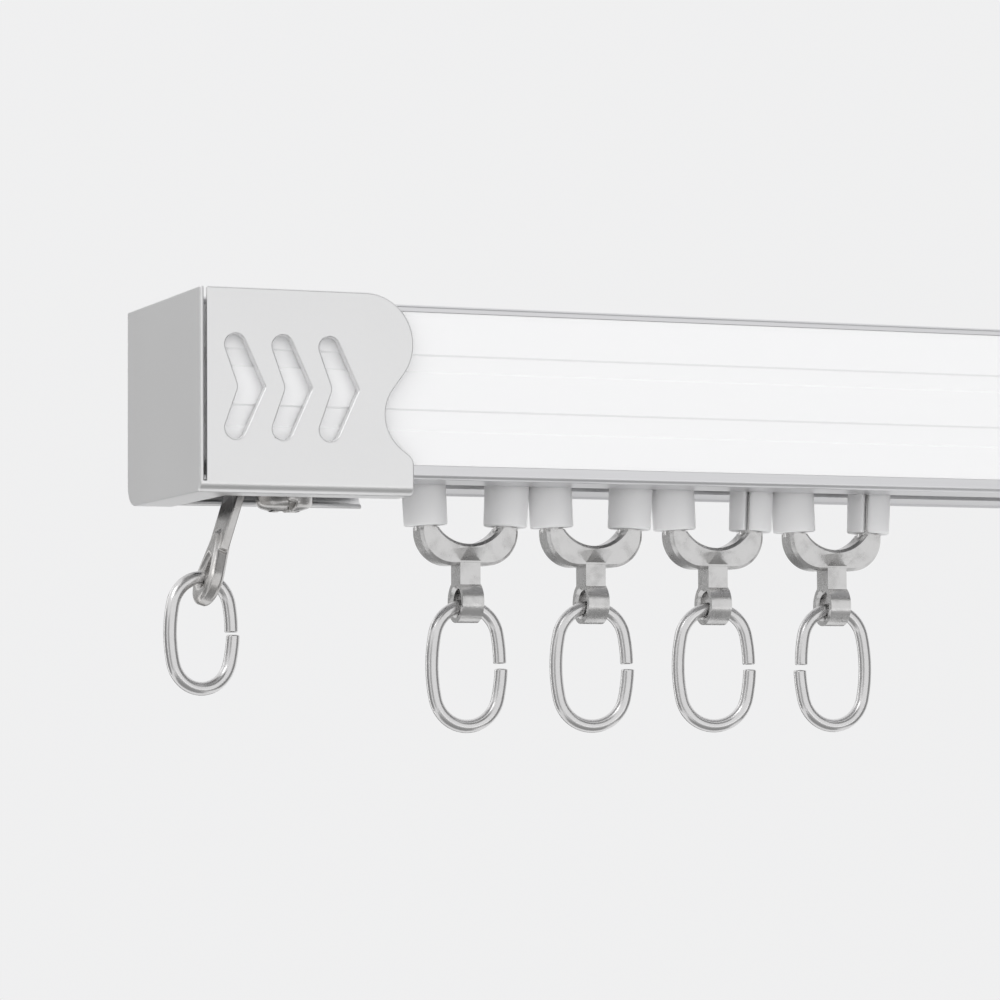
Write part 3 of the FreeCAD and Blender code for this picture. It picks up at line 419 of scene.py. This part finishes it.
def closed_tube(name, grid, finish):
    """A mesh of a grid of points, rings by points, closed round each ring and shut at both
    ends with a fan to the ring's middle. Faces point out when the rings run to the left."""
    rings, count = grid.shape[:2]
    places = np.vstack([grid.reshape(-1, 3), grid[0].mean(0), grid[-1].mean(0)])
    ring, spot = np.meshgrid(np.arange(rings - 1), np.arange(count), indexing="ij")
    after = (spot + 1) % count
    quads = np.stack([ring * count + spot, ring * count + after,
                      (ring + 1) * count + after, (ring + 1) * count + spot], -1).reshape(-1, 4)
    spot = np.arange(count)
    after = (spot + 1) % count
    last = (rings - 1) * count
    start = np.stack([after, spot, np.full(count, rings * count)], -1)
    stop = np.stack([last + spot, last + after, np.full(count, rings * count + 1)], -1)
    mesh = bpy.data.meshes.new(name)
    mesh.from_pydata(places.tolist(), [], quads.tolist() + start.tolist() + stop.tolist())
    mesh.polygons.foreach_set("use_smooth", np.ones(len(mesh.polygons), bool))
    mesh.materials.append(finish)
    piece = bpy.data.objects.new(name, mesh)
    bpy.context.scene.collection.objects.link(piece)
    return piece


def collar(name, middle, side, slit):
    """Carries the wall's rounded section round the leg from one edge of the slit to the
    other; near each edge the section shrinks towards its middle, which rounds the edge.
    The steps lie closer together in the first and the last part of the way."""
    high, thick = COLLAR_LENGTH / 2, (COLLAR_FOOT - COLLAR_BORE) / 2
    across, along = rounded_loop(thick, high, COLLAR_ROUND, COLLAR_SIDES)
    near = np.array([0, 0.3, 0.6, 0.85])
    steps = np.linspace(1, COLLAR_PARTS - 1, COLLAR_STEPS)
    share = np.concatenate([near, steps, COLLAR_PARTS - near[::-1]]) / COLLAR_PARTS
    mean = COLLAR_BORE + thick
    half_gap = COLLAR_SLIT / 2 / mean
    turn = slit + half_gap + share * (2 * np.pi - 2 * half_gap)
    edge = np.minimum(share, 1 - share) * 2 * np.pi * mean
    shrink = COLLAR_ROUND * (1 - np.sqrt(1 - np.clip(1 - edge / COLLAR_ROUND, 0, 1) ** 2))
    across = across[None] - shrink[:, None] * np.sign(across)[None]
    along = along[None] - shrink[:, None] * np.sign(along)[None]
    swell = (COLLAR_HEAD - COLLAR_FOOT) * (along / COLLAR_LENGTH + 0.5) * (across > 0)
    reach = mean + across + swell
    x, y, z = reach * np.cos(turn)[:, None], reach * np.sin(turn)[:, None], along + high
    lean = side * COLLAR_LEAN
    leant_x, leant_z = x * np.cos(lean) + z * np.sin(lean), z * np.cos(lean) - x * np.sin(lean)
    foot = [middle + side * COLLAR_SPREAD, 0, COLLAR_LOW]
    return closed_tube(name, np.stack([leant_x, y, leant_z], -1) + foot, collar_finish)


for number in RUNNERS:
    low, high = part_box("runner_%d_yoke" % number)
    middle = (low.x + high.x) / 2
    for side, word in ((-1, "left"), (1, "right")):
        node = "runner_%d_collar_%s" % (number, word)
        slit = SLIT_FRONT if side > 0 and number > 2 else SLIT_REAR
        sleeve = collar("runner_%d_sleeve_%s" % (number, word), middle, side, slit)
        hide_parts(node)
        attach(sleeve, "runner_%d" % number)


# Rings: round steel wire bent to an open oval and nickel plated bright. A ring hangs in
# each runner's eye, and a smaller one in the eye of each end hook.
WIRE, WIRE_ROUND, NOSE_SHARE = 0.0013, 0.0003, 0.93
SPRING, SPRING_REACH = 0.00035, 0.012
WIRE_STEPS, WIRE_SIDES, END_STEPS = 220, 32, 6
RING_SIZE, END_RING_SIZE = (0.0171, 0.0259, 0.001), (0.0159, 0.0235, 0.0005)
RING_TURNS, END_RING_TURNS = (2.0, -8.0, -12.0, 180.0), (("left", 11.0), ("right", 169.0))
BRIGHT, BRIGHT_WORN = (0.80, 0.795, 0.795), (0.60, 0.59, 0.59)

wire_skin = Finish(bpy.data.materials.new("nickel_wire"))
wear = wire_skin.noise(300.0, detail=4.0)
wire_finish = wire_skin.surface({
    "Base Color": wire_skin.tint(wear * 0.4, BRIGHT, BRIGHT_WORN),
    "Metallic": 1.0,
    "Roughness": 0.16 + 0.12 * wear,
    "Normal": wire_skin.bump(wear, 0.000025),
})


def oval(wide, high, parting):
    """Points and headings along an open oval of four arcs, two wide flanks and two noses
    that touch, from one side of the gap to the other, anticlockwise, evenly spaced but at
    the rounded ends. Also how far along it each point lies, and its whole length."""
    half, tall = wide / 2 - WIRE, high / 2 - WIRE
    nose = NOSE_SHARE * half
    rise = tall - nose
    flank = (half ** 2 + rise ** 2 - nose ** 2) / (2 * (half - nose))
    lean = np.arctan2(rise, flank - half)
    gap = np.arcsin(parting / 2 / flank)
    starts = np.array([gap, lean, np.pi - lean, np.pi + lean, 2 * np.pi - lean])
    stops = np.array([lean, np.pi - lean, np.pi + lean, 2 * np.pi - lean, 2 * np.pi - gap])
    radii = np.array([flank, nose, flank, nose, flank])
    middles = np.array([[half - flank, 0], [0, rise], [flank - half, 0], [0, -rise],
                        [half - flank, 0]])
    marks = np.concatenate([[0], np.cumsum((stops - starts) * radii)])
    length = marks[-1]
    ends = WIRE_ROUND * (1 - np.cos(np.linspace(0, np.pi / 2, END_STEPS)))
    between = np.linspace(WIRE_ROUND, length - WIRE_ROUND, WIRE_STEPS)[1:-1]
    far = np.concatenate([ends, between, length - ends[::-1]])
    arc = np.clip(np.searchsorted(marks, far, side="right") - 1, 0, len(radii) - 1)
    turn = starts[arc] + (far - marks[arc]) / radii[arc]
    out = np.stack([np.cos(turn), np.sin(turn)], -1)
    return middles[arc] + out * radii[arc][:, None], out, far, length


def ring(name, node, size, turn, body):
    """Carries the wire's circle along the oval, smaller at its ends, where the cut is
    rounded. One end springs a little forward of the other."""
    places, out, far, length = oval(*size)
    edge = np.minimum(far, length - far)
    inset = np.clip(1 - edge / WIRE_ROUND, 0, 1)
    radius = WIRE - WIRE_ROUND * (1 - np.sqrt(1 - inset ** 2))
    first, last = [np.clip(1 - way / SPRING_REACH, 0, 1) ** 2 for way in (far, length - far)]
    sprung = SPRING * (first - last)
    spin = np.linspace(0, 2 * np.pi, WIRE_SIDES, endpoint=False)
    outward = radius[:, None] * np.cos(spin)
    x = places[:, :1] + out[:, :1] * outward
    z = places[:, 1:] + out[:, 1:] * outward
    y = radius[:, None] * np.sin(spin) + sprung[:, None]
    low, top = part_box(node)
    middle = [(low.x + top.x) / 2, (low.y + top.y) / 2, (low.z + top.z) / 2]
    turned_x, turned_y = x * np.cos(turn) - y * np.sin(turn), x * np.sin(turn) + y * np.cos(turn)
    piece = closed_tube(name, np.stack([turned_x, turned_y, z], -1) + middle, wire_finish)
    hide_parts(node)
    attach(piece, body)


for number, degrees in zip(RUNNERS, RING_TURNS):
    ring("curtain_ring_%d" % number, "runner_%d_ring" % number, RING_SIZE,
         np.radians(degrees), "runner_%d_loop" % number)
for word, degrees in END_RING_TURNS:
    ring("hook_ring_" + word, "end_ring_" + word, END_RING_SIZE,
         np.radians(degrees), "end_loop_" + word)
